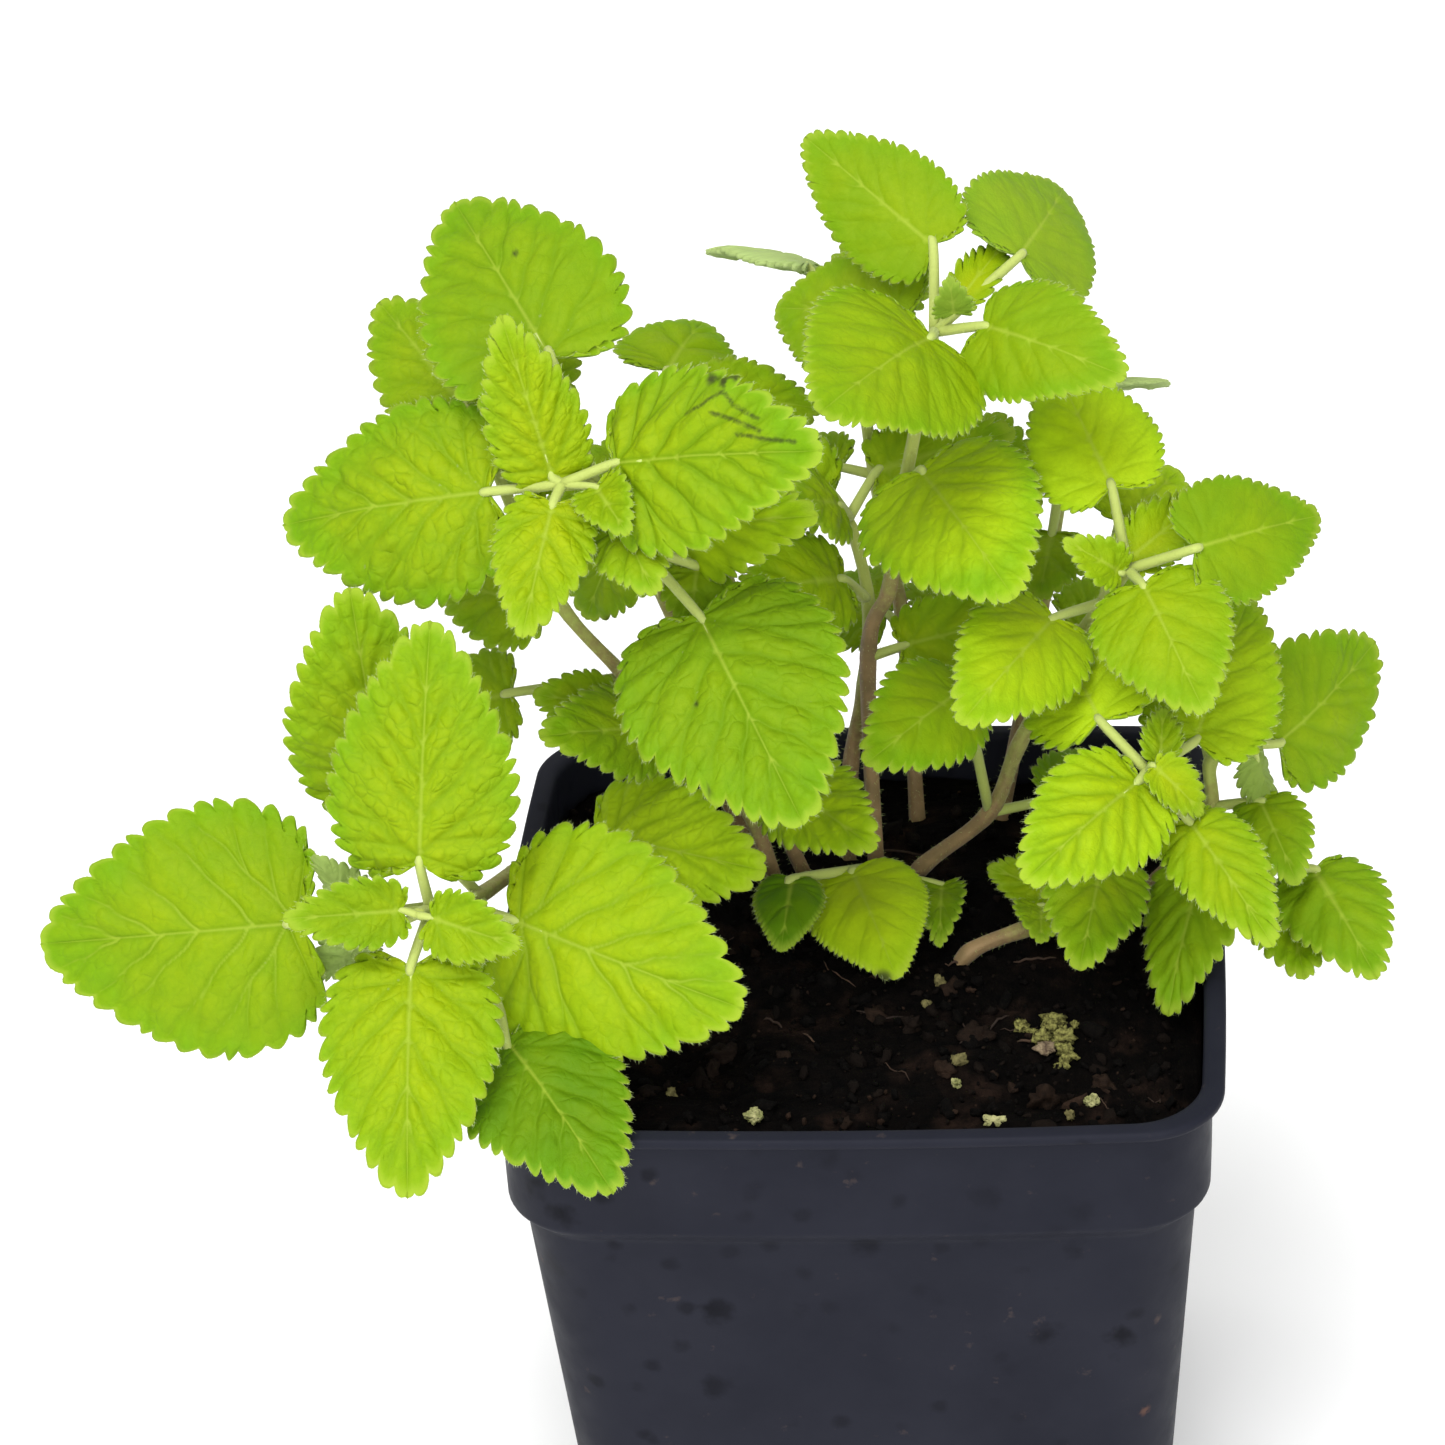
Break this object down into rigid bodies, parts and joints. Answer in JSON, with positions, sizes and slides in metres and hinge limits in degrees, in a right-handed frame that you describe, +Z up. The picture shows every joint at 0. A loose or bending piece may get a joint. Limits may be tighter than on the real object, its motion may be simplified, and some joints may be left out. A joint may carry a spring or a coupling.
{
  "type": "potted catmint",
  "caption": "Young catmint plant with scalloped leaves on arching stems, growing in dark soil in a square black nursery pot with a banded rim.",
  "frame": {"origin": "centre of the pot's foot, on the plane it rests on", "axes": "+Z up, -Y towards the front that the picture shows, +X to the right of that view"},
  "size_m": [0.1667, 0.1205, 0.1773],
  "materials": {
    "pot": "satin moulded plastic, slightly dusty",
    "soil": "loose dark potting soil",
    "foliage": "soft matt leaf with fine hairs",
    "perlite": "porous, pale",
    "bark": "rough, dull"
  },
  "bodies": {
    "root": {"pot": "pot", "soil": "soil", "shoot_front_left": "foliage", "shoot_back_left": "foliage", "shoot_mid_left": "foliage", "shoot_far_left": "foliage", "shoot_centre": "foliage", "shoot_tall": "foliage", "shoot_right": "foliage", "shoot_front_right": "foliage", "shoot_far_right": "foliage", "shoot_low_right": "foliage", "shoot_low_centre": "foliage", "shoot_rear_left": "foliage", "shoot_rear_centre": "foliage", "shoot_rear_right": "foliage", "perlite_front_left": "perlite", "perlite_front": "perlite", "perlite_small": "perlite", "perlite_right": "perlite", "perlite_rear": "perlite", "bark_front": "bark", "bark_left": "bark", "bark_rear": "bark"}
  },
  "joints": []
}
